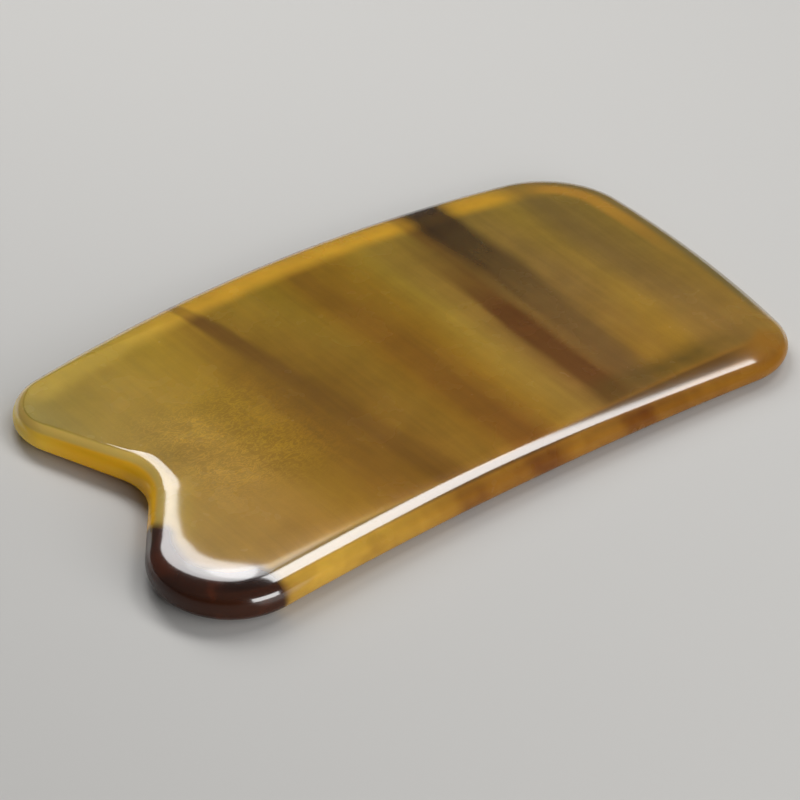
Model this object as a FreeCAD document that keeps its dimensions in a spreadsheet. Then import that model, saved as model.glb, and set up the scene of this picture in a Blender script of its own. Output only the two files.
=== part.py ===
"""Gua sha scraper: one board cut from a sheet of ox horn and polished all round.

The board lies on its back face, which is flat at Z = 0. Its length runs along X, with the
notched end at -X and the straight end at +X. Its width runs along Y, with the thick grip edge
at -Y and the thin scraping edge at +Y. The origin is under the middle of the board.

The body is one loft through closed outlines stacked from the back face to the front face.
Every outline is the same chain of tangent arcs and lines, drawn smaller by the inset that the
rounded rim has at that height, and each plane leans a little more than the one below it, so
that the board thins towards the straight end and the scraping edge.
"""

import FreeCAD, Part
import math
import os

import Sketcher

SHEET = "sizes"

# Driving dimensions, in millimetres and degrees.
SIZES = [
    ("board_length", 105.0, "overall length along X"),
    ("board_width", 63.4, "overall width along Y"),
    ("centre_thickness", 4.6, "thickness over the origin"),
    ("taper_angle", 2.8, "slope of the front face to the back face"),
    ("taper_heading", 66.0, "direction in which the board thins, from +X towards +Y"),
    ("grip_lobe_radius", 11.4, "blunt lobe beside the notch, on the grip edge"),
    ("grip_corner_radius", 9.5, "corner of the grip edge and the straight end"),
    ("far_corner_radius", 14.0, "corner of the straight end and the scraping edge"),
    ("tip_radius", 8.9, "slim lobe beside the notch, on the scraping edge"),
    ("notch_radius", 8.5, "bottom of the notch"),
    ("grip_edge_radius", 500.0, "hollow of the long grip edge"),
    ("end_radius", 175.0, "bow of the straight end"),
    ("scraping_edge_radius", 189.0, "bow of the long scraping edge"),
    ("notch_depth", 10.7, "from the grip lobe's front to the bottom of the notch"),
    ("notch_offset", 0.5, "middle of the notch above the board's middle line"),
    ("tip_setback", 4.7, "how far the slim lobe stays behind the grip lobe"),
    ("end_crest", 4.0, "Y of the foremost point of the straight end"),
    ("edge_crest", -1.0, "X of the outermost point of the scraping edge"),
    ("front_rim_width", 7.4, "from the outline in to the flat of the front face"),
    ("back_rim_width", 5.0, "from the outline in to the flat of the back face"),
    ("waist_share", 0.42, "height of the widest outline, as a share of the thickness"),
]

# The rim's section is a quarter of an ellipse above the waist and another below it.
STEPS = 16  # bands of the loft on each quarter

START, END, CENTRE = 1, 2, 3
ORIGIN = -1


def make_sheet(doc):
    """The spreadsheet of driving dimensions, one alias each."""
    sheet = doc.addObject("Spreadsheet::Sheet", SHEET)
    for row, (alias, value, meaning) in enumerate(SIZES, start=1):
        sheet.set(f"A{row}", alias)
        sheet.set(f"B{row}", str(value))
        sheet.set(f"C{row}", meaning)
        sheet.setAlias(f"B{row}", alias)
    doc.recompute()
    return sheet


def circle_crossing(centre_a, radius_a, centre_b, radius_b, side):
    """Where two circles cross, on the left (side +1) or the right (-1) of the way from a to b."""
    reach = centre_b - centre_a
    gap = reach.Length
    along = (radius_a**2 - radius_b**2 + gap**2) / (2 * gap)
    across = math.sqrt(radius_a**2 - along**2)
    left = FreeCAD.Vector(-reach.y, reach.x, 0) / gap
    return centre_a + reach * (along / gap) + left * (side * across)


def towards(start, target, distance):
    """The point at a distance from start on the line to target."""
    return start + (target - start) * (distance / (target - start).Length)


def crossed_tangent(convex, convex_radius, hollow, hollow_radius, side):
    """Where the line that leaves a convex arc and enters a hollow one touches each of them."""
    reach = hollow - convex
    spread = side * math.acos((convex_radius + hollow_radius) / reach.Length)
    heading = math.atan2(reach.y, reach.x) + spread
    normal = FreeCAD.Vector(math.cos(heading), math.sin(heading), 0)
    return convex + normal * convex_radius, hollow - normal * hollow_radius


def arc(centre, start, end):
    """The arc that turns anticlockwise from start to end round the centre."""
    first = math.atan2(start.y - centre.y, start.x - centre.x)
    last = math.atan2(end.y - centre.y, end.x - centre.x)
    circle = Part.Circle(centre, FreeCAD.Vector(0, 0, 1), (start - centre).Length)
    return Part.ArcOfCircle(circle, first, last if last > first else last + 2 * math.pi)


def outline_geometry(sheet, inset):
    """The ten edges of the outline, anticlockwise, drawn smaller by the inset."""
    half_length = sheet.board_length / 2
    half_width = sheet.board_width / 2
    lobe_r = sheet.grip_lobe_radius - inset
    corner_r = sheet.grip_corner_radius - inset
    far_r = sheet.far_corner_radius - inset
    tip_r = sheet.tip_radius - inset
    notch_r = sheet.notch_radius + inset
    grip_r = sheet.grip_edge_radius + inset
    end_r = sheet.end_radius - inset
    scraping_r = sheet.scraping_edge_radius - inset

    lobe = FreeCAD.Vector(sheet.grip_lobe_radius - half_length, sheet.grip_lobe_radius - half_width)
    end = FreeCAD.Vector(half_length - sheet.end_radius, sheet.end_crest)
    scraping = FreeCAD.Vector(sheet.edge_crest, half_width - sheet.scraping_edge_radius)
    notch = FreeCAD.Vector(sheet.notch_depth - sheet.notch_radius - half_length, sheet.notch_offset)

    corner_y = sheet.grip_corner_radius - half_width
    corner_x = end.x + math.sqrt((end_r - corner_r) ** 2 - (corner_y - end.y) ** 2)
    corner = FreeCAD.Vector(corner_x, corner_y)
    tip_x = sheet.tip_setback + sheet.tip_radius - half_length
    tip_y = scraping.y + math.sqrt((scraping_r - tip_r) ** 2 - (tip_x - scraping.x) ** 2)
    tip = FreeCAD.Vector(tip_x, tip_y)
    far = circle_crossing(end, end_r - far_r, scraping, scraping_r - far_r, 1)
    grip = circle_crossing(lobe, grip_r + lobe_r, corner, grip_r + corner_r, -1)

    lobe_grip = towards(lobe, grip, lobe_r)
    grip_corner = towards(corner, grip, corner_r)
    corner_end = towards(corner, end, -corner_r)
    end_far = towards(far, end, -far_r)
    far_scraping = towards(far, scraping, -far_r)
    scraping_tip = towards(tip, scraping, -tip_r)
    tip_flank, flank_notch = crossed_tangent(tip, tip_r, notch, notch_r, -1)
    lobe_flank, notch_flank = crossed_tangent(lobe, lobe_r, notch, notch_r, 1)

    return [
        arc(lobe, lobe_flank, lobe_grip),
        arc(grip, grip_corner, lobe_grip),
        arc(corner, grip_corner, corner_end),
        arc(end, corner_end, end_far),
        arc(far, end_far, far_scraping),
        arc(scraping, far_scraping, scraping_tip),
        arc(tip, scraping_tip, tip_flank),
        Part.LineSegment(tip_flank, flank_notch),
        arc(notch, notch_flank, flank_notch),
        Part.LineSegment(notch_flank, lobe_flank),
    ]


# The edges' places in the list above.
LOBE, GRIP, CORNER, ENDING, FAR, SCRAPING, TIP, TIP_FLANK, NOTCH, LOBE_FLANK = range(10)

# The tangent joints round the outline: edge, end, next edge, end.
JOINTS = [
    (LOBE, END, GRIP, END),
    (GRIP, START, CORNER, START),
    (CORNER, END, ENDING, START),
    (ENDING, END, FAR, START),
    (FAR, END, SCRAPING, START),
    (SCRAPING, END, TIP, START),
    (TIP, END, TIP_FLANK, START),
    (TIP_FLANK, END, NOTCH, END),
    (NOTCH, START, LOBE_FLANK, START),
    (LOBE_FLANK, END, LOBE, START),
]

# Each arc's radius: edge, alias, and whether the inset makes it smaller (-1) or larger (+1).
RADII = [
    (LOBE, "grip_lobe_radius", -1),
    (GRIP, "grip_edge_radius", 1),
    (CORNER, "grip_corner_radius", -1),
    (ENDING, "end_radius", -1),
    (FAR, "far_corner_radius", -1),
    (SCRAPING, "scraping_edge_radius", -1),
    (TIP, "tip_radius", -1),
    (NOTCH, "notch_radius", 1),
]

# The arcs' centres that fix the outline in the board's frame: edge, axis, expression.
CENTRES = [
    (LOBE, "x", "{s}.grip_lobe_radius - {s}.board_length / 2"),
    (LOBE, "y", "{s}.grip_lobe_radius - {s}.board_width / 2"),
    (CORNER, "y", "{s}.grip_corner_radius - {s}.board_width / 2"),
    (ENDING, "x", "{s}.board_length / 2 - {s}.end_radius"),
    (ENDING, "y", "{s}.end_crest"),
    (SCRAPING, "x", "{s}.edge_crest"),
    (SCRAPING, "y", "{s}.board_width / 2 - {s}.scraping_edge_radius"),
    (TIP, "x", "{s}.tip_setback + {s}.tip_radius - {s}.board_length / 2"),
    (NOTCH, "x", "{s}.notch_depth - {s}.notch_radius - {s}.board_length / 2"),
    (NOTCH, "y", "{s}.notch_offset"),
]


def place_outline(sketch, plane, level):
    """Sets the sketch's plane, how high it is and how it slopes, from the sheet."""
    sketch.AttachmentSupport = [(plane, "")]
    sketch.MapMode = "FlatFace"
    bindings = {
        "Base.z": f"{SHEET}.centre_thickness * ({level})",
        "Rotation.Axis.x": f"-sin({SHEET}.taper_heading * 1 deg)",
        "Rotation.Axis.y": f"cos({SHEET}.taper_heading * 1 deg)",
        "Rotation.Axis.z": "0",
        "Rotation.Angle": f"atan(({level}) * tan({SHEET}.taper_angle * 1 deg))",
    }
    for path, expression in bindings.items():
        sketch.setExpression(f"AttachmentOffset.{path}", expression)


def draw_outline(sketch, sheet, inset, inset_expression):
    """Draws the outline with its joints, radii and centres bound to the sheet."""
    geometry = outline_geometry(sheet, inset)
    sketch.addGeometry(geometry, False)
    for edge, end, following, other_end in JOINTS:
        sketch.addConstraint(Sketcher.Constraint("Tangent", edge, end, following, other_end))
    for edge, alias, sign in RADII:
        index = sketch.addConstraint(Sketcher.Constraint("Radius", edge, geometry[edge].Radius))
        sketch.renameConstraint(index, alias)
        operator = "-" if sign < 0 else "+"
        sketch.setExpression(f"Constraints.{alias}", f"{SHEET}.{alias} {operator} ({inset_expression})")
    for edge, axis, expression in CENTRES:
        value = getattr(geometry[edge].Center, axis)
        kind = "DistanceX" if axis == "x" else "DistanceY"
        index = sketch.addConstraint(Sketcher.Constraint(kind, ORIGIN, START, edge, CENTRE, value))
        name = f"centre_{edge}_{axis}"
        sketch.renameConstraint(index, name)
        sketch.setExpression(f"Constraints.{name}", expression.format(s=SHEET))


def quarter(step):
    """A point of the rim's quarter ellipse: its inset and its rise, each as a share from 0 to 1."""
    turn = math.radians(90 * step / STEPS)
    return 1 - math.cos(turn), math.sin(turn)


def rim_stations():
    """Every outline from the back face up: the rim's width alias, its inset share and its level."""
    stations = []
    for step in range(STEPS, 0, -1):
        inset, rise = quarter(step)
        stations.append(("back_rim_width", inset, f"{SHEET}.waist_share * {1 - rise:.6f}"))
    for step in range(STEPS + 1):
        inset, rise = quarter(step)
        level = f"{SHEET}.waist_share + (1 - {SHEET}.waist_share) * {rise:.6f}"
        stations.append(("front_rim_width", inset, level))
    return stations


def make_board(doc, sheet):
    """The whole scraper: a loft through the stacked outlines."""
    board = doc.addObject("PartDesign::Body", "Board")
    board.Label = "horn_board"
    plane = next(o for o in board.Origin.OriginFeatures if o.Role == "XY_Plane")
    outlines = []
    for number, (width, share, level) in enumerate(rim_stations()):
        sketch = board.newObject("Sketcher::SketchObject", f"Outline{number:02d}")
        place_outline(sketch, plane, level)
        inset = getattr(sheet, width) * share
        draw_outline(sketch, sheet, inset, f"{SHEET}.{width} * {share:.6f}")
        outlines.append(sketch)
    doc.recompute()
    loft = board.newObject("PartDesign::AdditiveLoft", "RoundedBoard")
    loft.Profile = outlines[0]
    loft.Sections = outlines[1:]
    loft.Ruled = True
    doc.recompute()
    return board


def check(doc, parts):
    """Stops if any object failed or any sub-part isn't one valid solid."""
    for obj in doc.Objects:
        if "Invalid" in obj.State or "Error" in obj.State:
            raise RuntimeError(f"{obj.Label} failed: {obj.State}")
    for part in parts:
        shape = part.Shape
        if shape.isNull() or not shape.isValid() or len(shape.Solids) != 1:
            raise RuntimeError(f"{part.Label} is not one valid solid")


def main():
    doc = FreeCAD.newDocument("gua_sha_scraper")
    sheet = make_sheet(doc)
    parts = [make_board(doc, sheet)]
    check(doc, parts)
    os.makedirs("parts", exist_ok=True)
    for part in parts:
        part.Shape.exportStep(f"parts/{part.Label}.step")
        box = part.Shape.BoundBox
        print(part.Label, f"{part.Shape.Volume:.0f} mm3", f"{len(part.Shape.Faces)} faces", box)


main()
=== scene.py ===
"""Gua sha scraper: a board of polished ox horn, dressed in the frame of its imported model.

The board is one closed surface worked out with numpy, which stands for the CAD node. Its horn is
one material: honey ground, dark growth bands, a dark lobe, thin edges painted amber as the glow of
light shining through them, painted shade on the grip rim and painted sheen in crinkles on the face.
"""

import math
from types import SimpleNamespace

import bpy
import numpy as np
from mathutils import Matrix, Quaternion, Vector


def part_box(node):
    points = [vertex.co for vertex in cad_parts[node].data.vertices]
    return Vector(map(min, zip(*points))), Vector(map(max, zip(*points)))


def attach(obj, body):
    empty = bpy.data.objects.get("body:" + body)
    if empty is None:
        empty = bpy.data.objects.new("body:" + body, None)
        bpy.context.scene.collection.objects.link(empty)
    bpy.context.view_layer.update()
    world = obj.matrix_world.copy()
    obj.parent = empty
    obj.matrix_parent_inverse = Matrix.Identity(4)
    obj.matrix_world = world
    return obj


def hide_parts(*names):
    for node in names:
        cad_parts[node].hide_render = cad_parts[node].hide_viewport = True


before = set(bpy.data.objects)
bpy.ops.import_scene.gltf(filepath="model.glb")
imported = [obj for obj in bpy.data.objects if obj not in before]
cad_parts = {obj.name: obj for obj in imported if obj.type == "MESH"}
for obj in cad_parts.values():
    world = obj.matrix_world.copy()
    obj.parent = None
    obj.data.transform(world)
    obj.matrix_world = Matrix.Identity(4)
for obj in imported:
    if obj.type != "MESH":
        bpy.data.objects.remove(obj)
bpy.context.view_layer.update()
board_low, board_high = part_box("horn_board")

# ---------------------------------------------------------------- sizes of the board
# The drawing is 105 units long, so one unit is a millimetre on the board as packed.
LENGTH = 105.0
UNIT = (board_high.x - board_low.x) / LENGTH
HALF_LENGTH = LENGTH / 2
HALF_WIDTH = (board_high.y - board_low.y) / UNIT / 2

# The radii of the outline's arcs.
GRIP_LOBE_RADIUS = 11.4
GRIP_CORNER_RADIUS = 9.5
FAR_CORNER_RADIUS = 14.0
TIP_RADIUS = 8.9
NOTCH_RADIUS = 8.5
GRIP_EDGE_RADIUS = 500.0
END_RADIUS = 175.0
SCRAPING_EDGE_RADIUS = 189.0
# How deep the notch goes and how far its middle lies towards the scraping edge, how far the tip stands
# back, how far the straight end's crest lies towards the scraping edge, and the scraping edge's
# towards the straight end.
NOTCH_DEPTH = 10.7
NOTCH_OFFSET = 0.5
TIP_SETBACK = 4.7
END_CREST = 4.0
EDGE_CREST = -1.0

# The thickness in the middle, how steeply the front leans and towards where, the rim's width on the
# front and on the back, and how high its waist lies, as a share of the thickness.
CENTRE_THICKNESS = 4.6
TAPER = math.radians(2.8)
TAPER_HEADING = math.radians(66.0)
FRONT_RIM = 7.4
BACK_RIM = 5.0
WAIST = 0.42

# Vertices along the outline: the long sides and the short sides, and half of each rounded corner.
LONG_SIDE = 190
SHORT_SIDE = 110
HALF_CORNER = 24
NOTCH_ARC = 34
# Width of the front rim at the middle of each stretch of the outline, as a share of its full width:
# lobe, grip edge, corner twice, end, far corner twice, scraping edge, tip twice, flank, notch, flank
# and lobe.
SHOULDERS = (1.15, 0.6, 1.0, 1.0, 1.0, 1.0, 1.0, 0.8, 0.25, 0.2, 0.26, 0.5, 0.8, 1.15)
FRONT_RINGS = 32
BACK_RINGS = 18
# Share of the rim's quarter turn that is missing where it meets the front face, at the middle of
# each stretch: at 0 it runs smoothly into the face, and more leaves a crease.
CREASES = (0, 0, 0, 0, 0, 0, 0, 0, 0.2, 0.5, 0.18, 0, 0, 0)
# Past this share, the crease is marked as a sharp edge.
SHARP_CREASE = 0.02
# Fullness of the front rim's curve at the middle of each stretch: 2 is an ellipse, more is fuller.
FULLNESS = (2.8, 2, 2, 2, 2, 2, 2, 2, 2, 2, 2, 2, 2.6, 3.0)
# Over about this many outline points the rim's direction is blurred.
TURN_BLUR = 4
# The bake sheet is this many units wide and holds the two sides of the board one above the other.
SHEET = 176.0


# ---------------------------------------------------------------- the board's surface
def unit_vector(v):
    """A vector, or each row of several, made one unit long."""
    return v / np.linalg.norm(v, axis=-1, keepdims=True)


def circle_crossing(a, radius_a, b, radius_b, side):
    """Where two circles cross, on the left (side 1) or the right (-1) of the way from a to b."""
    gap = np.linalg.norm(b - a)
    along = (radius_a**2 - radius_b**2 + gap**2) / (2 * gap)
    across = math.sqrt(radius_a**2 - along**2)
    ahead = (b - a) / gap
    return a + ahead * along + np.array([-ahead[1], ahead[0]]) * side * across


def crossed_normal(convex, convex_radius, hollow, hollow_radius, side):
    """The normal of the line that leaves a convex arc and enters a hollow one."""
    reach = hollow - convex
    spread = side * math.acos((convex_radius + hollow_radius) / np.linalg.norm(reach))
    heading = math.atan2(reach[1], reach[0]) + spread
    return np.array([math.cos(heading), math.sin(heading)])


def arc(centre, radius, first_normal, last_normal, count, bend=1):
    """count points of an arc and their outward normals, from one normal to the next, without the last.

    A point is the centre plus the radius times a direction that turns evenly. A hollow arc
    (bend -1) turns clockwise, and its outward normal points at its centre.
    """
    first = math.atan2(*(first_normal * bend)[::-1])
    last = math.atan2(*(last_normal * bend)[::-1])
    turn = (last - first) * bend % (2 * math.pi) * bend
    angle = first + turn * np.arange(count) / count
    ray = np.stack([np.cos(angle), np.sin(angle)], 1)
    return centre + radius * ray, bend * ray


def line(start, end, normal, count):
    """count points from start towards end, without the last, and their one normal."""
    share = np.arange(count)[:, None] / count
    return start + (end - start) * share, np.repeat(normal[None], count, 0)


def outline():
    """The board's outline in units, anticlockwise from the middle of the grip lobe, with its normals.

    Eight arcs and two lines, each tangent to the next: lobe, grip edge, corner, straight end, far
    corner, scraping edge, tip, flank, notch, flank and lobe again.
    """
    lobe = np.array([GRIP_LOBE_RADIUS - HALF_LENGTH, GRIP_LOBE_RADIUS - HALF_WIDTH])
    end = np.array([HALF_LENGTH - END_RADIUS, END_CREST])
    scraping = np.array([EDGE_CREST, HALF_WIDTH - SCRAPING_EDGE_RADIUS])
    notch = np.array([NOTCH_DEPTH - NOTCH_RADIUS - HALF_LENGTH, NOTCH_OFFSET])
    corner_y = GRIP_CORNER_RADIUS - HALF_WIDTH
    corner_x = end[0] + math.sqrt((END_RADIUS - GRIP_CORNER_RADIUS) ** 2 - (corner_y - end[1]) ** 2)
    corner = np.array([corner_x, corner_y])
    tip_x = TIP_SETBACK + TIP_RADIUS - HALF_LENGTH
    tip_y = scraping[1] + math.sqrt((SCRAPING_EDGE_RADIUS - TIP_RADIUS) ** 2 - (tip_x - scraping[0]) ** 2)
    tip = np.array([tip_x, tip_y])
    end_reach = END_RADIUS - FAR_CORNER_RADIUS
    scraping_reach = SCRAPING_EDGE_RADIUS - FAR_CORNER_RADIUS
    far = circle_crossing(end, end_reach, scraping, scraping_reach, 1)
    lobe_reach = GRIP_EDGE_RADIUS + GRIP_LOBE_RADIUS
    corner_reach = GRIP_EDGE_RADIUS + GRIP_CORNER_RADIUS
    grip = circle_crossing(lobe, lobe_reach, corner, corner_reach, -1)

    lobe_grip = unit_vector(grip - lobe)
    grip_corner = unit_vector(grip - corner)
    corner_end = unit_vector(corner - end)
    end_far = unit_vector(far - end)
    far_scraping = unit_vector(far - scraping)
    scraping_tip = unit_vector(tip - scraping)
    tip_flank = crossed_normal(tip, TIP_RADIUS, notch, NOTCH_RADIUS, -1)
    lobe_flank = crossed_normal(lobe, GRIP_LOBE_RADIUS, notch, NOTCH_RADIUS, 1)
    lobe_middle = unit_vector(lobe_flank + lobe_grip)
    corner_middle = unit_vector(grip_corner + corner_end)
    far_middle = unit_vector(end_far + far_scraping)
    tip_middle = unit_vector(scraping_tip + tip_flank)
    long_edge = LONG_SIDE - 2 * HALF_CORNER
    short_edge = SHORT_SIDE - 2 * HALF_CORNER
    flank = (short_edge - NOTCH_ARC) // 2

    pieces = [
        arc(lobe, GRIP_LOBE_RADIUS, lobe_middle, lobe_grip, HALF_CORNER),
        arc(grip, GRIP_EDGE_RADIUS, lobe_grip, grip_corner, long_edge, -1),
        arc(corner, GRIP_CORNER_RADIUS, grip_corner, corner_middle, HALF_CORNER),
        arc(corner, GRIP_CORNER_RADIUS, corner_middle, corner_end, HALF_CORNER),
        arc(end, END_RADIUS, corner_end, end_far, short_edge),
        arc(far, FAR_CORNER_RADIUS, end_far, far_middle, HALF_CORNER),
        arc(far, FAR_CORNER_RADIUS, far_middle, far_scraping, HALF_CORNER),
        arc(scraping, SCRAPING_EDGE_RADIUS, far_scraping, scraping_tip, long_edge),
        arc(tip, TIP_RADIUS, scraping_tip, tip_middle, HALF_CORNER),
        arc(tip, TIP_RADIUS, tip_middle, tip_flank, HALF_CORNER),
        line(tip + tip_flank * TIP_RADIUS, notch - tip_flank * NOTCH_RADIUS, tip_flank, flank),
        arc(notch, NOTCH_RADIUS, tip_flank, lobe_flank, NOTCH_ARC, -1),
        line(notch - lobe_flank * NOTCH_RADIUS, lobe + lobe_flank * GRIP_LOBE_RADIUS, lobe_flank, flank),
        arc(lobe, GRIP_LOBE_RADIUS, lobe_flank, lobe_middle, HALF_CORNER),
    ]
    points, normals = (np.concatenate(parts) for parts in zip(*pieces))
    counts = [len(part[0]) for part in pieces]
    shapes = [along_outline(values, counts) for values in (SHOULDERS, CREASES, FULLNESS)]
    return points, smooth_around(normals), *shapes


def smooth_around(normals):
    """The normals blurred a little along the outline, so that the rim turns gently at each joint.

    Each is replaced by the mean of its neighbours, weighted by a bell curve, and made unit again.
    """
    total = np.zeros_like(normals)
    for step in range(-3 * TURN_BLUR, 3 * TURN_BLUR + 1):
        total += np.exp(-((step / TURN_BLUR) ** 2) / 2) * np.roll(normals, step, 0)
    return unit_vector(total)


def along_outline(values, counts):
    """A value at each outline point, from one value for each stretch of the outline.

    Each stretch has its value at its middle, and between the middles the values follow half a
    cosine wave, so that they rise and fall smoothly.
    """
    ends = np.cumsum(counts)
    middles = ends - np.array(counts) / 2
    places = np.concatenate([[middles[-1] - ends[-1]], middles, [middles[0] + ends[-1]]])
    values = np.array([values[-1], *values, values[0]])
    at = np.arange(ends[-1]) + 0.5
    before = np.clip(np.searchsorted(places, at) - 1, 0, len(places) - 2)
    way = (at - places[before]) / (places[before + 1] - places[before])
    ease = (1 - np.cos(np.pi * way)) / 2
    return values[before] + (values[before + 1] - values[before]) * ease


def face_grid(ring):
    """A grid of points that fills a closed ring, as (short side + 1, long side + 1, 2).

    It is a Coons patch: each point blends the two long sides and the two short sides, less the
    blend of the four corners that both have counted.
    """
    ring = np.concatenate([ring, ring[:1]])
    corners = np.cumsum([LONG_SIDE, SHORT_SIDE, LONG_SIDE])
    near = ring[: corners[0] + 1]
    right = ring[corners[0] : corners[1] + 1]
    far = ring[corners[1] : corners[2] + 1][::-1]
    left = ring[corners[2] :][::-1]
    u = np.linspace(0, 1, LONG_SIDE + 1)[None, :, None]
    v = np.linspace(0, 1, SHORT_SIDE + 1)[:, None, None]
    across = near[None] * (1 - v) + far[None] * v
    along = left[:, None] * (1 - u) + right[:, None] * u
    corner_blend = (near[0] * (1 - u) + near[-1] * u) * (1 - v) + (far[0] * (1 - u) + far[-1] * u) * v
    return across + along - corner_blend


def tilted(plan, level):
    """Plan points lifted onto the plane at that level, which leans by its share of the taper.

    The plane at level 1 is the front face, and its height at the origin is the thickness there. A
    point turns about the line through the plane's middle that runs square to the heading.
    """
    heading = np.array([math.cos(TAPER_HEADING), math.sin(TAPER_HEADING)])
    lean = np.arctan(level * math.tan(TAPER))
    downhill = plan @ heading
    shift = downhill * (np.cos(lean) - 1)
    height = level * CENTRE_THICKNESS - downhill * np.sin(lean)
    return np.concatenate([plan + shift[..., None] * heading, height[..., None]], -1)


def board_surface():
    """Vertices, quads, marks on every vertex and the bake sheet's layout, for the closed board.

    Ring by ring from the back face up to the waist and on to the front face, the outline is drawn
    in by the rim's width times 1 - cos of an angle, and its level rises with the angle's sine. On
    the front, sine and cosine are raised to the power 2 / fullness, both results are divided by what
    they reach at the last angle, and the width is multiplied by the shoulder. Each face is then
    filled by a grid whose border is the last ring.
    """
    points, normals, shoulder, crease, fullness = outline()
    count = len(points)
    back = np.linspace(np.pi / 2, 0, BACK_RINGS + 1)[:-1, None] * np.ones(count)
    last = (1 - crease) * np.pi / 2
    front = np.linspace(0, 1, FRONT_RINGS + 1)[:, None] * last
    rise = np.sin(front) ** (2 / fullness)
    reach = np.cos(front) ** (2 / fullness)
    front_inset = FRONT_RIM * (1 - reach) / (1 - reach[-1])
    inset = np.concatenate([BACK_RIM * (1 - np.cos(back)), front_inset * shoulder])
    front_level = WAIST + (1 - WAIST) * rise / rise[-1]
    level = np.concatenate([WAIST * (1 - np.sin(back)), front_level])
    rings = tilted(points - normals * inset[..., None], level)
    ring_index = np.arange(level.size).reshape(-1, count)

    def filled(ring_number, first_free):
        """The grid inside one ring, as vertex numbers, and its own inner vertices."""
        plan = points - normals * inset[ring_number, :, None]
        grid = face_grid(plan)
        index = np.full(grid.shape[:2], -1)
        border = ring_index[ring_number]
        closed = np.append(border, border[0])
        corners = np.cumsum([LONG_SIDE, SHORT_SIDE, LONG_SIDE])
        index[0, :] = closed[: corners[0] + 1]
        index[:, -1] = closed[corners[0] : corners[1] + 1]
        index[-1, ::-1] = closed[corners[1] : corners[2] + 1]
        index[::-1, 0] = closed[corners[2] :]
        inner = grid[1:-1, 1:-1].reshape(-1, 2)
        index[1:-1, 1:-1] = first_free + np.arange(len(inner)).reshape(grid.shape[0] - 2, -1)
        return index, tilted(inner, np.full(len(inner), level[ring_number, 0])), inner

    back_index, back_points, back_plan = filled(0, ring_index.size)
    front_index, front_points, front_plan = filled(-1, ring_index.size + len(back_points))
    vertices = np.concatenate([rings.reshape(-1, 3), back_points, front_points])

    around = np.roll(ring_index, -1, 1)
    rim = np.stack([ring_index[:-1], around[:-1], around[1:], ring_index[1:]], -1).reshape(-1, 4)
    front_quads = np.stack(
        [front_index[:-1, :-1], front_index[:-1, 1:], front_index[1:, 1:], front_index[1:, :-1]], -1
    ).reshape(-1, 4)
    back_quads = np.stack(
        [back_index[:-1, :-1], back_index[1:, :-1], back_index[1:, 1:], back_index[:-1, 1:]], -1
    ).reshape(-1, 4)
    quads = np.concatenate([rim, back_quads, front_quads])

    inner_plan = np.concatenate([back_plan, front_plan])
    gap = inner_plan[:, None, :] - points[None]
    nearest = np.argmin((gap**2).sum(-1), 1)
    inner_inset = np.linalg.norm(inner_plan - points[nearest], axis=1)
    inner_level = np.concatenate([np.zeros(len(back_plan)), np.ones(len(front_plan))])
    creased = np.zeros(len(vertices), bool)
    creased[ring_index[-1]] = crease > SHARP_CREASE
    marks = {
        "inset": np.concatenate([inset.ravel(), inner_inset]),
        "level": np.concatenate([level.ravel(), inner_level]),
        "outward": np.concatenate([np.tile(normals, (len(inset), 1)), normals[nearest]]),
        "creased": creased,
    }
    return vertices, quads, marks, bake_layout(vertices, quads, normals, ring_index)


def bake_layout(vertices, quads, normals, ring_index):
    """Where each corner of each quad lies on the flat bake sheet, from 0 to 1.

    The front of the board and the back are two islands, one above the other. A face keeps its plan,
    and the rim is laid out flat around it, outwards by its length up to the waist.
    """
    rings = vertices[ring_index]
    steps = np.linalg.norm(np.diff(rings, axis=0), axis=2)
    run = np.concatenate([np.zeros((1, steps.shape[1])), np.cumsum(steps, 0)])
    islands = []
    for face_ring, shift in ((-1, 1), (0, -1)):
        flat = vertices[:, :2].copy()
        reach = np.abs(run - run[face_ring])
        flat[ring_index] = rings[face_ring, :, :2] + normals * reach[..., None]
        islands.append((flat + np.array([0, shift * SHEET / 4])) / SHEET + 0.5)
    front_first = ring_index[BACK_RINGS, 0]
    last_ring = ring_index[-1, -1]
    back_count = (LONG_SIDE - 1) * (SHORT_SIDE - 1)
    back_face = (quads > last_ring) & (quads <= last_ring + back_count)
    is_back = ((quads < front_first) | back_face).any(1)
    return np.where(is_back[:, None, None], islands[1][quads], islands[0][quads])


def make_board():
    """The horn board as one mesh object, in metres."""
    vertices, quads, marks, layout = board_surface()
    mesh = bpy.data.meshes.new("horn_board_polished")
    mesh.vertices.add(len(vertices))
    mesh.vertices.foreach_set("co", (vertices * UNIT).ravel())
    mesh.loops.add(quads.size)
    mesh.loops.foreach_set("vertex_index", quads.ravel().astype(np.int32))
    mesh.polygons.add(len(quads))
    mesh.polygons.foreach_set("loop_start", np.arange(0, quads.size, 4, dtype=np.int32))
    mesh.update(calc_edges=True)
    mesh.shade_smooth()
    edges = np.empty(len(mesh.edges) * 2, np.int32)
    mesh.edges.foreach_get("vertices", edges)
    sharp = mesh.attributes.new("sharp_edge", "BOOLEAN", "EDGE")
    sharp.data.foreach_set("value", marks["creased"][edges].reshape(-1, 2).all(1))
    for name in ("inset", "level"):
        layer = mesh.attributes.new(name, "FLOAT", "POINT")
        layer.data.foreach_set("value", marks[name].astype(np.float32))
    layer = mesh.attributes.new("outward", "FLOAT_VECTOR", "POINT")
    outward = np.c_[marks["outward"], np.zeros(len(vertices))]
    layer.data.foreach_set("vector", outward.astype(np.float32).ravel())
    sheet = mesh.uv_layers.new(name="OFBake")
    sheet.data.foreach_set("uv", layout.astype(np.float32).ravel())
    mesh.validate()
    board = bpy.data.objects.new("horn_board_polished", mesh)
    bpy.context.scene.collection.objects.link(board)
    return board


# ---------------------------------------------------------------- lights, camera and floor
# What the lamps face, in metres.
MIDDLE = Vector((0.0, 0.0, 0.0025))
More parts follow.
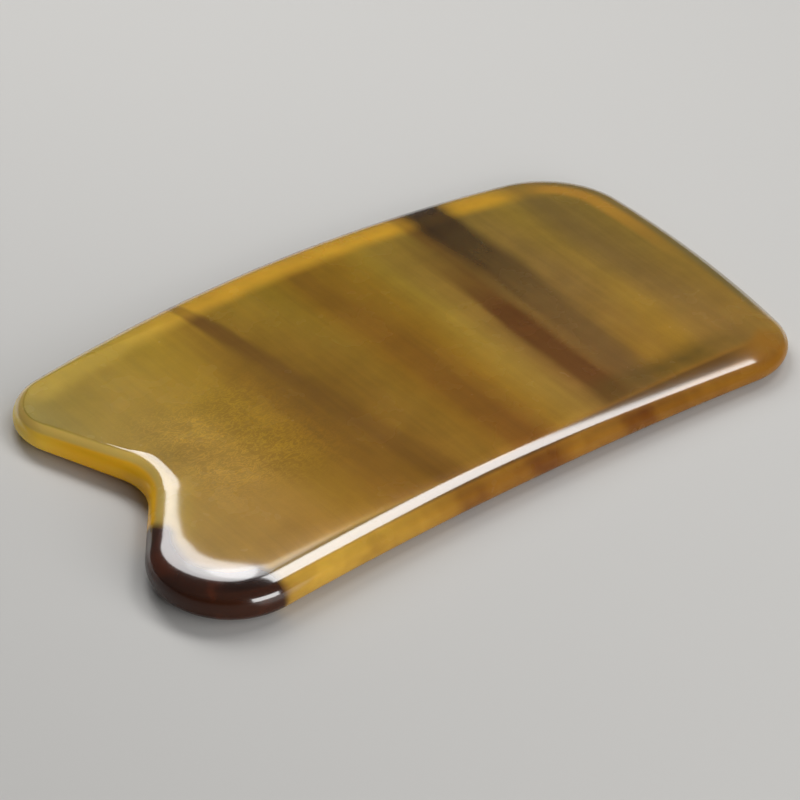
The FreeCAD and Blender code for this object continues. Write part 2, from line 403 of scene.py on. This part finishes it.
# What the camera looks at in metres, its direction in degrees, its distance in metres and its lens in
# millimetres.
CAMERA_AIM = Vector((-0.002634, -0.006069, 0.0025))
CAMERA_AZIMUTH = -37.378
CAMERA_ELEVATION = 37.4
CAMERA_DISTANCE = 0.650
CAMERA_LENS = 214.2
# Half the floor's width, in metres.
FLOOR_HALF = 3.0


def direction(azimuth, elevation):
    """Unit vector towards a compass direction: azimuth 0 is -Y and 90 is +X, elevation above the floor."""
    a, e = math.radians(azimuth), math.radians(elevation)
    return Vector((math.sin(a) * math.cos(e), -math.cos(a) * math.cos(e), math.sin(e)))


def softbox(name, azimuth, elevation, distance, roll, width, height, radiance, shape="RECTANGLE"):
    """A flat lamp that faces the board, as an object.

    Its power is worked out from how bright its face is, and its roll turns it about its own axis.
    """
    lamp = bpy.data.lights.new(name, "AREA")
    lamp.shape = shape
    lamp.size = width
    lamp.size_y = height
    area = width * height * (math.pi / 4 if shape == "ELLIPSE" else 1)
    lamp.energy = radiance * math.pi * area
    holder = bpy.data.objects.new(name, lamp)
    towards = direction(azimuth, elevation)
    holder.location = MIDDLE + towards * distance
    turned = towards.to_track_quat("Z", "Y") @ Quaternion((0, 0, 1), math.radians(roll))
    holder.rotation_euler = turned.to_euler()
    holder.visible_camera = False
    bpy.context.scene.collection.objects.link(holder)
    return holder


def make_camera():
    """A long lens that looks down on the board over the grip lobe."""
    towards = direction(CAMERA_AZIMUTH, CAMERA_ELEVATION)
    data = bpy.data.cameras.new("camera")
    data.lens = CAMERA_LENS
    data.clip_start = 0.01
    data.clip_end = 10.0
    camera = bpy.data.objects.new("camera", data)
    camera.location = CAMERA_AIM + towards * CAMERA_DISTANCE
    camera.rotation_euler = towards.to_track_quat("Z", "Y").to_euler()
    bpy.context.scene.collection.objects.link(camera)
    bpy.context.scene.camera = camera


def make_floor():
    """A plain pale floor, matt and without a pattern."""
    signs = ((-1, -1), (1, -1), (1, 1), (-1, 1))
    corners = [(x * FLOOR_HALF, y * FLOOR_HALF, 0) for x, y in signs]
    mesh = bpy.data.meshes.new("floor")
    mesh.from_pydata(corners, [], [(0, 1, 2, 3)])
    floor = bpy.data.objects.new("floor", mesh)
    bpy.context.scene.collection.objects.link(floor)
    material = bpy.data.materials.new("pale_floor")
    material.use_nodes = True
    shader = material.node_tree.nodes["Principled BSDF"]
    shader.inputs["Base Color"].default_value = (0.62, 0.61, 0.59, 1)
    shader.inputs["Roughness"].default_value = 0.9
    shader.inputs["Specular IOR Level"].default_value = 0.2
    mesh.materials.append(material)


def make_world():
    """A faint, even light from all round."""
    world = bpy.data.worlds.new("studio")
    bpy.context.scene.world = world
    world.use_nodes = True
    background = world.node_tree.nodes["Background"]
    background.inputs["Color"].default_value = (0.05, 0.05, 0.05, 1)


# ---------------------------------------------------------------- the horn
# Ground colour of the horn along the board, from the notched end to the straight end.
GROUND = (
    (-50, (0.44, 0.25, 0.035)),
    (-34, (0.45, 0.23, 0.032)),
    (-18, (0.53, 0.255, 0.019)),
    (-2, (0.45, 0.245, 0.018)),
    (14, (0.33, 0.16, 0.028)),
    (32, (0.30, 0.15, 0.045)),
    (50, (0.52, 0.285, 0.020)),
)
# What multiplies the ground at the scraping edge.
SCRAPING_EDGE_TINT = (0.87, 1.10, 0.50, 1)
# The layers lean towards the straight end as they go down through the board, by this much for each
# unit of depth. At this height the bands lie where the table below says.
LAYER_LEAN = 0.35
LAYER_HEIGHT = 4.0
# Bands start and end on two lines this far apart, which lie evenly about the middle of the board.
BAND_SPAN = 60.0
# This far from the middle line, a band has come to its strength at the edge.
BAND_REACH = 28.0
# Growth bands, which cross the board from the grip edge to the scraping edge: where each starts and
# ends, its half widths there, its strength at the grip edge, the middle and the scraping edge, and
# the pigment that multiplies the horn.
BANDS = (
    ("thin_brown", (-9.0, -15.5), (2.4, 1.1), (0.4, 0.25, 1.0), (0.50, 0.36, 0.08)),
    ("brown_haze", (-10.5, -10.5), (9.0, 9.0), (0.6, 0.8, 0.6), (0.54, 0.42, 0.33)),
    ("heart_line", (4.2, 2.5), (2.8, 1.6), (0.7, 0.4, 0.35), (0.62, 0.45, 0.12)),
    ("heart_haze", (4.0, 5.0), (6.5, 7.0), (0.7, 0.9, 0.9), (0.73, 0.55, 0.12)),
    ("rust_edge", (20.0, 20.0), (2.5, 1.8), (0.8, 1.0, -0.2), (0.45, 0.28, 0.14)),
    ("smoke_edge", (23.5, 22.8), (1.0, 2.0), (0.0, 0.2, 0.9), (0.50, 0.34, 0.30)),
    ("smoke", (25.5, 26.6), (2.6, 3.2), (0.2, 0.5, 1.0), (0.14, 0.10, 0.24)),
    ("olive_tail", (47.0, 43.5), (6.0, 6.0), (0.5, 0.75, 0.95), (0.49, 0.47, 1.40)),
    ("shade", (-17.5, -18.5), (9.0, 9.0), (0.8, 1.0, 0.0), (0.73, 0.71, 0.12)),
    ("light_vein", (12.5, 10.5), (3.6, 3.6), (1.0, 0.9, 0.4), (1.26, 1.40, 1.20)),
    ("warm_vein", (31.0, 38.0), (4.7, 4.7), (1.0, 0.0, 0.0), (1.40, 1.40, 0.40)),
)
# How much of the painted glow of light through the thin scraping edge each of these bands takes away.
BANDS_IN_PAINTED_GLOW = (("smoke", 1.0), ("olive_tail", 0.8), ("smoke_edge", 0.6), ("thin_brown", 0.5))
# The bands that show at the grip rim as rusty patches.
RUSTY_BANDS = ("thin_brown", "heart_line", "rust_edge", "smoke")
# Sizes in units of the slow drift of the layers and of the mottles.
DRIFT_SIZE = 26.0
MOTTLE_SIZE = 8.0
# How quickly each of these varies, along, across and up through the board.
QUICK_DRIFT = (0.22, 0.045, 0.12)
GRAIN = (1.1, 0.06, 0.5)
CRINKLES = (0.5, 0.9, 0.8)
BLOTCHES = (0.22, 0.22, 0.22)
# How sharply a crinkle stands out.
CRINKLE_STEEPNESS = 14.0


def new_group(name, inputs, outputs):
    """An empty node group with its sockets: (tree, input sockets, output sockets)."""
    tree = bpy.data.node_groups.new(name, "ShaderNodeTree")
    for label, kind in inputs:
        tree.interface.new_socket(name=label, in_out="INPUT", socket_type="NodeSocket" + kind)
    for label, kind in outputs:
        tree.interface.new_socket(name=label, in_out="OUTPUT", socket_type="NodeSocket" + kind)
    return tree, tree.nodes.new("NodeGroupInput").outputs, tree.nodes.new("NodeGroupOutput").inputs


def put(tree, socket, value):
    """Link a socket to another, or give it a plain value."""
    if isinstance(value, bpy.types.NodeSocket):
        tree.links.new(value, socket)
    else:
        socket.default_value = value


def maths(tree, operation, *values):
    """The result of a sum on plain numbers."""
    node = tree.nodes.new("ShaderNodeMath")
    node.operation = operation
    for socket, value in zip(node.inputs, values):
        put(tree, socket, value)
    return node.outputs[0]


def vector_maths(tree, operation, *values):
    """The result of a sum on vectors."""
    node = tree.nodes.new("ShaderNodeVectorMath")
    node.operation = operation
    for socket, value in zip(node.inputs, values):
        put(tree, socket, value)
    return node.outputs[0]


def scaled(tree, vector, factor):
    """A vector or a colour times a number."""
    node = tree.nodes.new("ShaderNodeVectorMath")
    node.operation = "SCALE"
    put(tree, node.inputs[0], vector)
    put(tree, node.inputs["Scale"], factor)
    return node.outputs[0]


def eased(tree, value, start, full):
    """0 before start and 1 after full, with a soft S between. start may be the greater."""
    node = tree.nodes.new("ShaderNodeMapRange")
    node.interpolation_type = "SMOOTHSTEP"
    put(tree, node.inputs["Value"], value)
    put(tree, node.inputs["From Min"], start)
    put(tree, node.inputs["From Max"], full)
    return node.outputs[0]


def product(tree, *values):
    """Several numbers multiplied."""
    result = values[0]
    for value in values[1:]:
        result = maths(tree, "MULTIPLY", result, value)
    return result


def mixed(tree, blend, share, below, above):
    """The colour above laid over the colour below by its share, in a blend mode."""
    node = tree.nodes.new("ShaderNodeMix")
    node.data_type = "RGBA"
    node.blend_type = blend
    put(tree, node.inputs[0], share)
    put(tree, node.inputs[6], below)
    put(tree, node.inputs[7], above)
    return node.outputs[2]


def noise(tree, vector, detail=2.0, roughness=0.5, distortion=0.0):
    """Smooth noise from 0 to 1, which varies over about one unit of the vector."""
    node = tree.nodes.new("ShaderNodeTexNoise")
    node.inputs["Distortion"].default_value = distortion
    put(tree, node.inputs["Vector"], vector)
    put(tree, node.inputs["Scale"], 1.0)
    put(tree, node.inputs["Detail"], detail)
    put(tree, node.inputs["Roughness"], roughness)
    return node.outputs["Fac"]


def placed(tree, group, values):
    """A group put into a tree, with its inputs by name."""
    node = tree.nodes.new("ShaderNodeGroup")
    node.node_tree = group
    for label, value in values.items():
        put(tree, node.inputs[label], value)
    return node.outputs


def growth_band_group():
    """One band of pigment: horn in, horn multiplied by the pigment out.

    The band's middle runs straight from Start at the grip edge to End at the scraping edge, and its
    half width changes with it. The mask is 1 to half of the half width and fades in a soft S to 0 at
    one and a half. The strength goes from Grip over Middle to Edge.
    """
    floats = ("Across", "Along", "Start", "End", "Start Width", "End Width", "Grip", "Middle", "Edge")
    tree, given, out = new_group(
        "growth_band",
        [("Horn", "Color"), *((label, "Float") for label in floats), ("Pigment", "Color")],
        [("Horn", "Color"), ("Mask", "Float")],
    )
    way = maths(tree, "MULTIPLY_ADD", given["Across"], 1 / BAND_SPAN, 0.5)
    run = maths(tree, "SUBTRACT", given["End"], given["Start"])
    middle = maths(tree, "MULTIPLY_ADD", run, way, given["Start"])
    spread = maths(tree, "SUBTRACT", given["End Width"], given["Start Width"])
    half_width = maths(tree, "MULTIPLY_ADD", spread, way, given["Start Width"])
    off = maths(tree, "ABSOLUTE", maths(tree, "SUBTRACT", given["Along"], middle))
    mask = eased(tree, maths(tree, "DIVIDE", off, half_width), 1.5, 0.5)
    to_grip = maths(tree, "MAXIMUM", maths(tree, "MULTIPLY", given["Across"], -1 / BAND_REACH), 0.0)
    to_edge = maths(tree, "MAXIMUM", maths(tree, "MULTIPLY", given["Across"], 1 / BAND_REACH), 0.0)
    strength = given["Middle"]
    for share, end in ((to_grip, "Grip"), (to_edge, "Edge")):
        rise = maths(tree, "SUBTRACT", given[end], given["Middle"])
        strength = maths(tree, "MULTIPLY_ADD", maths(tree, "MINIMUM", share, 1.0), rise, strength)
    mask = product(tree, mask, strength)
    put(tree, out["Mask"], mask)
    put(tree, out["Horn"], mixed(tree, "MULTIPLY", mask, given["Horn"], given["Pigment"]))
    return tree


def stained_zone_group():
    """A zone of the rim in its own colour, which comes in from Start to Full and keeps to its Share."""
    tree, given, out = new_group(
        "stained_zone",
        [("Horn", "Color"), ("Depth", "Float"), ("Start", "Float"), ("Full", "Float"), ("Share", "Float"),
         ("Stain", "Color")],
        [("Horn", "Color")],
    )
    mask = product(tree, eased(tree, given["Depth"], given["Start"], given["Full"]), given["Share"])
    put(tree, out["Horn"], mixed(tree, "MIX", mask, given["Horn"], given["Stain"]))
    return tree


def horn_growth_group():
    """How the horn grew, as numbers that vary over the board.

    Drift is how far a layer strays along the board, in units. Tone is the mottling, Grain the fine
    grain along the bands, Wrinkle the crinkles of the polish's orange peel, 0.8 on a crinkle and 0.4
    between them, and Blotch the large patches.
    """
    tree, given, out = new_group(
        "horn_growth",
        [("Place", "Vector")],
        [(label, "Float") for label in ("Drift", "Tone", "Grain", "Wrinkle", "Blotch")],
    )
    place = given["Place"]
    slow = noise(tree, scaled(tree, place, 1 / DRIFT_SIZE), 2.0)
    quick = noise(tree, vector_maths(tree, "MULTIPLY", place, QUICK_DRIFT), 3.0, 0.6)
    drift = maths(tree, "MULTIPLY_ADD", slow, 2.6, -1.3)
    put(tree, out["Drift"], maths(tree, "MULTIPLY_ADD", maths(tree, "SUBTRACT", quick, 0.5), 2.0, drift))
    put(tree, out["Tone"], noise(tree, scaled(tree, place, 1 / MOTTLE_SIZE), 3.0, 0.55))
    put(tree, out["Grain"], noise(tree, vector_maths(tree, "MULTIPLY", place, GRAIN), 3.0, 0.6))
    crossing = vector_maths(tree, "MULTIPLY", place, CRINKLES)
    crinkle = maths(tree, "SUBTRACT", noise(tree, crossing, 2.0, 0.6, 2.0), 0.5)
    crinkle = maths(tree, "MULTIPLY", maths(tree, "ABSOLUTE", crinkle), CRINKLE_STEEPNESS)
    put(tree, out["Wrinkle"], maths(tree, "MULTIPLY_ADD", maths(tree, "MINIMUM", crinkle, 1.0), -0.4, 0.8))
    put(tree, out["Blotch"], noise(tree, vector_maths(tree, "MULTIPLY", place, BLOTCHES), 2.0, 0.5))
    return tree


def places_on_board(tree):
    """What the horn's colours follow, by name.

    here is the place in units, and along, across and up are its parts. inset is how far it lies in
    from the outline, and level how high it lies from the back face (0) to the front face (1). The
    facing values are 1 where the nearest stretch of the outline looks towards the scraping edge, the
    straight end, the notched end or the grip edge. tip_half and lobe_half are 1 on the tip's side of
    the notched end and on the grip lobe's.
    """
    here = scaled(tree, tree.nodes.new("ShaderNodeTexCoord").outputs["Object"], 1 / UNIT)
    marks = {}
    for name, output in (("inset", "Fac"), ("level", "Fac"), ("outward", "Vector")):
        node = tree.nodes.new("ShaderNodeAttribute")
        node.attribute_name = name
        marks[name] = node.outputs[output]
    parts = []
    for vector in (here, marks["outward"]):
        split = tree.nodes.new("ShaderNodeSeparateXYZ")
        put(tree, split.inputs[0], vector)
        parts.extend(split.outputs)
    along, across, up, to_end, to_edge, _ = parts
    return SimpleNamespace(
        here=here, along=along, across=across, up=up, inset=marks["inset"], level=marks["level"],
        facing_edge=eased(tree, to_edge, 0.25, 0.80),
        facing_end=eased(tree, to_end, 0.35, 0.70),
        facing_notch=eased(tree, to_end, -0.20, -0.55),
        facing_grip=eased(tree, to_edge, -0.45, -0.85),
        tip_half=eased(tree, across, -13.0, -9.0),
        lobe_half=maths(tree, "SUBTRACT", 1.0, eased(tree, across, -10.5, -8.0)),
    )


def banded_horn(tree, at, growth):
    """The ground of the horn crossed by its growth bands: the colour, and each band's mask by name."""
    layer = maths(tree, "ADD", at.along, growth["Drift"])
    layer = maths(tree, "MULTIPLY_ADD", maths(tree, "SUBTRACT", at.up, LAYER_HEIGHT), LAYER_LEAN, layer)
    ramp = tree.nodes.new("ShaderNodeValToRGB")
    put(tree, ramp.inputs[0], maths(tree, "MULTIPLY_ADD", layer, 1 / LENGTH, 0.5))
    stops = ramp.color_ramp.elements
    while len(stops) < len(GROUND):
        stops.new(0.5)
    for stop, (place, colour) in zip(stops, GROUND):
        stop.position = place / LENGTH + 0.5
        stop.color = (*colour, 1)
    way = maths(tree, "MULTIPLY_ADD", at.across, 1 / BAND_SPAN, 0.5)
    horn = mixed(tree, "MULTIPLY", way, ramp.outputs["Color"], SCRAPING_EDGE_TINT)
    band = growth_band_group()
    masks = {}
    for name, (start, end), (start_width, end_width), (grip, middle, edge), pigment in BANDS:
        laid = placed(tree, band, {
            "Horn": horn, "Across": at.across, "Along": layer, "Start": start, "End": end,
            "Start Width": start_width, "End Width": end_width, "Grip": grip, "Middle": middle,
            "Edge": edge, "Pigment": (*pigment, 1),
        })
        horn, masks[name] = laid["Horn"], laid["Mask"]
    return horn, masks


def mottled(tree, horn, at, growth):
    """The horn with mottling and grain, and crinkles painted lighter near the notched end as sheen."""
    sheen_patch = product(
        tree,
        eased(tree, at.along, -12.0, -24.0),
        eased(tree, at.along, -42.0, -34.0),
        eased(tree, at.across, 14.0, 4.0),
        eased(tree, at.across, -18.0, -8.0),
    )
    # Painted sheen: the polish's crinkles, also its bumps, lighten the colour a little everywhere and more
    # in this patch.
    sheen_strength = maths(tree, "ADD", sheen_patch, 0.1)
    for source, strength in (("Tone", 0.55), ("Grain", 0.35), ("Wrinkle", sheen_strength)):
        tone = maths(tree, "MULTIPLY", maths(tree, "SUBTRACT", growth[source], 0.5), strength)
        horn = scaled(tree, horn, maths(tree, "ADD", tone, 1.0))
    return horn


def far_rim_zones(tree, at, blotch, masks):
    """The zones of the rim at the thin scraping edge, the straight end and the tip, with painted glow."""
    on_front = eased(tree, at.level, 0.30, 0.62)
    clear = 1.0
    for name, taken in BANDS_IN_PAINTED_GLOW:
        clear = product(tree, clear, maths(tree, "MULTIPLY_ADD", masks[name], -taken, 1.0))
    # Painted glow: the thin scraping edge and straight end are painted bright amber, as light shining
    # through the thin horn.
    painted_glow_tip, painted_glow_middle = (0.66, 0.44, 0.05, 1), (0.72, 0.38, 0.022, 1)
    painted_edge_glow = mixed(tree, "MIX", eased(tree, at.along, -34.0, -8.0), painted_glow_tip, painted_glow_middle)
    painted_edge_glow = scaled(tree, painted_edge_glow, maths(tree, "MULTIPLY_ADD", blotch, 0.3, 1.0))
    fading_tip = maths(tree, "MULTIPLY_ADD", eased(tree, at.along, -46.0, -8.0), 0.5, 0.45)
    edge_share = product(tree, at.facing_edge, clear, on_front, eased(tree, at.inset, 0.4, 2.4), fading_tip)
    end_share = product(tree, at.facing_end, eased(tree, at.across, -8.0, 14.0), on_front, 0.6)
    olive_share = product(tree, at.facing_end, eased(tree, at.across, -26.0, -16.0), on_front, 0.8)
    return (
        ("pale tip", at.along, -40.0, -48.0, product(tree, at.tip_half, 0.35), (0.26, 0.24, 0.06, 1)),
        # The next two zones are painted glow of light shining through the thin edge and the thin end.
        ("thin scraping edge", at.inset, 7.4, 4.2, edge_share, painted_edge_glow),
        ("thin straight end", at.inset, 5.8, 4.4, end_share, (0.62, 0.29, 0.03, 1)),
        ("olive outer rim", at.inset, 3.4, 1.8, olive_share, (0.17, 0.125, 0.03, 1)),
    )


def grip_rim_zones(tree, at, blotch, masks):
    """Zones along the grip edge: olive shade on the face, amber, then rust and painted shade to the waist.
    """
    right_half = product(tree, eased(tree, at.along, 12.0, 20.0), eased(tree, at.along, 50.0, 34.0))
    shade_share = product(tree, right_half, maths(tree, "MULTIPLY_ADD", blotch, 0.6, 0.7))
    amber_left, amber_right = (0.64, 0.38, 0.045, 1), (0.32, 0.14, 0.012, 1)
    amber = mixed(tree, "MIX", eased(tree, at.along, -30.0, -4.0), amber_left, amber_right)
    amber_share = product(tree, at.facing_grip, eased(tree, at.along, 52.0, 45.0), 0.85)
    streaks = 0.0
    for name in RUSTY_BANDS:
        streaks = maths(tree, "MAXIMUM", streaks, masks[name])
    # The dark maroon's share: rust patches along the bands, and a painted shade everywhere on the grip rim.
    rust_and_shade = maths(tree, "MULTIPLY_ADD", streaks, 0.6, maths(tree, "MULTIPLY_ADD", blotch, 0.6, 0.25))
    rust_and_shade_share = product(tree, at.facing_grip, rust_and_shade)
    return (
        ("olive grip shade", at.across, -20.0, -25.0, shade_share, (0.14, 0.08, 0.010, 1)),
        ("amber grip rim", at.level, 0.985, 0.93, amber_share, amber),
        # Painted shade: the dark maroon comes in from level 0.95 and is full below 0.70, darker down to the
        # waist, with rust patches in it.
        ("rusty grip rim", at.level, 0.95, 0.70, rust_and_shade_share, (0.11, 0.026, 0.003, 1)),
    )


def notched_end_zones(tree, at, growth):
    """The zones of the notched end's rim: a pale shoulder, the amber flank and the dark root.

    The amber lies below the shoulder and begins a little lower towards the tip, and is painted bright,
    as the glow of light shining through the thin end. The root is the rim beyond a line along the
    grain at the grip lobe.
    """
    share = product(tree, at.facing_notch, at.tip_half)
    flank_depth = maths(tree, "MULTIPLY_ADD", eased(tree, at.across, 4.0, 20.0), 0.05, at.level)
    # Painted glow: the flank's amber is raised to full red, as light shining through the thin notched end.
    amber_painted_glow_tip, amber_painted_glow_notch = (1.0, 0.68, 0.08, 1), (1.0, 0.51, 0.01, 1)
    amber = mixed(tree, "MIX", eased(tree, at.across, 22.0, 9.0), amber_painted_glow_tip, amber_painted_glow_notch)
    root = maths(tree, "MULTIPLY_ADD", maths(tree, "ADD", at.across, 11.0), 0.3, at.along)
    root = maths(tree, "MULTIPLY_ADD", growth["Drift"], 0.4, root)
    root_share = product(tree, at.lobe_half, eased(tree, at.level, 0.998, 0.96))
    black_brown, ruddy_brown = (0.040, 0.011, 0.004, 1), (0.085, 0.018, 0.005, 1)
    root_brown = mixed(tree, "MIX", eased(tree, growth["Blotch"], 0.50, 0.68), black_brown, ruddy_brown)
    return (
        ("notch shoulder", at.level, 1.0, 0.96, share, (0.68, 0.46, 0.10, 1)),
        # The notch flank carries the painted glow.
        ("notch flank", flank_depth, 0.88, 0.80, share, amber),
        ("dark root", root, -45.4, -47.4, root_share, root_brown),
    )


def stained_rim(tree, horn, at, growth, masks):
    """The horn with the zones of its rim laid over it in order, and painted shade at the grip rim's crest.

    A zone has a name, what it goes by, where that starts and where it is full, a share and a colour.
    """
    blotch = maths(tree, "MULTIPLY_ADD", growth["Blotch"], 1.6, -0.8)
    zone = stained_zone_group()
    zones = (
        *far_rim_zones(tree, at, blotch, masks),
        *grip_rim_zones(tree, at, blotch, masks),
        *notched_end_zones(tree, at, growth),
    )
    for _, depth, start, full, share, stain in zones:
        horn = placed(tree, zone, {
            "Horn": horn, "Depth": depth, "Start": start, "Full": full, "Share": share, "Stain": stain,
        })["Horn"]
    # Painted shade: the grip rim just below its white highlight line is darkened by up to 0.55.
    crest = product(
        tree,
        eased(tree, at.level, 0.80, 0.86),
        eased(tree, at.level, 0.96, 0.93),
        at.facing_grip,
        eased(tree, at.along, 44.0, 36.0),
    )
    return scaled(tree, horn, maths(tree, "MULTIPLY_ADD", crest, -0.55, 1.0))


def polish_weight(tree, at):
    """How much polish lies on the horn.

    The rim is nearly matt up to just above its waist, and higher up in the notch and at the grip edge.
    """
    beyond_lobe = product(tree, at.facing_grip, eased(tree, at.along, -39.0, -34.0))
    height = maths(tree, "MULTIPLY_ADD", at.facing_notch, -0.16, at.level)
    height = maths(tree, "MULTIPLY_ADD", beyond_lobe, -0.12, height)
    return maths(tree, "MULTIPLY_ADD", eased(tree, height, 0.48, 0.62), 0.95, 0.05)


def horn_material():
    """Horn that lets a little light in, under a hard polish."""
    material = bpy.data.materials.new("polished_horn")
    material.use_nodes = True
    tree = material.node_tree
    at = places_on_board(tree)
    growth = placed(tree, horn_growth_group(), {"Place": at.here})
    horn, masks = banded_horn(tree, at, growth)
    horn = mottled(tree, horn, at, growth)
    horn = stained_rim(tree, horn, at, growth, masks)

    bump = tree.nodes.new("ShaderNodeBump")
    bump.inputs["Distance"].default_value = 0.00002
    bump.inputs["Strength"].default_value = 0.5
    put(tree, bump.inputs["Height"], growth["Wrinkle"])
    sockets = tree.nodes["Principled BSDF"].inputs
    for name, value in (
        ("Base Color", horn),
        ("Roughness", maths(tree, "MULTIPLY_ADD", growth["Tone"], 0.16, 0.18)),
        ("IOR", 1.5),
        ("Specular IOR Level", 0.18),
        ("Coat Weight", polish_weight(tree, at)),
        ("Coat Roughness", 0.10),
        ("Coat IOR", 2.0),
        ("Subsurface Weight", 0.2),
        ("Subsurface Radius", (1.0, 0.45, 0.12)),
        ("Subsurface Scale", 0.001),
        ("Normal", bump.outputs[0]),
    ):
        put(tree, sockets[name], value)
    return material


board = make_board()
board.data.materials.append(horn_material())
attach(board, "root")
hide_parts("horn_board")

make_floor()
make_world()
make_camera()
# Each lamp's azimuth, elevation, distance, roll, width and height, and how bright its face is. The
# polish mirrors the first as the white line of the grip edge, the second low on the front of the
# lobe, and the next three in the notch and on top of the lobe.
softbox("right_softbox", 81.5, 62.5, 0.450, 15.0, 0.215, 0.125, 5.8)
softbox("front_softbox", 0.0, 13.0, 0.400, 0.0, 0.240, 0.150, 5.0)
softbox("back_softbox", 168.5, 51.5, 0.350, 17.0, 0.170, 0.330, 3.7, "ELLIPSE")
softbox("veil_softbox", 154.5, 59.5, 0.350, 39.0, 0.130, 0.190, 0.8, "ELLIPSE")
softbox("upper_softbox", 143.5, 61.5, 0.350, 59.0, 0.110, 0.155, 2.0, "ELLIPSE")
# The large fill lamp lights the horn and isn't mirrored in the polish.
fill = softbox("fill_softbox", 9.0, 30.0, 0.900, 0.0, 1.100, 0.900, 1.5)
fill.visible_glossy = False

bpy.context.scene.view_settings.view_transform = "Standard"
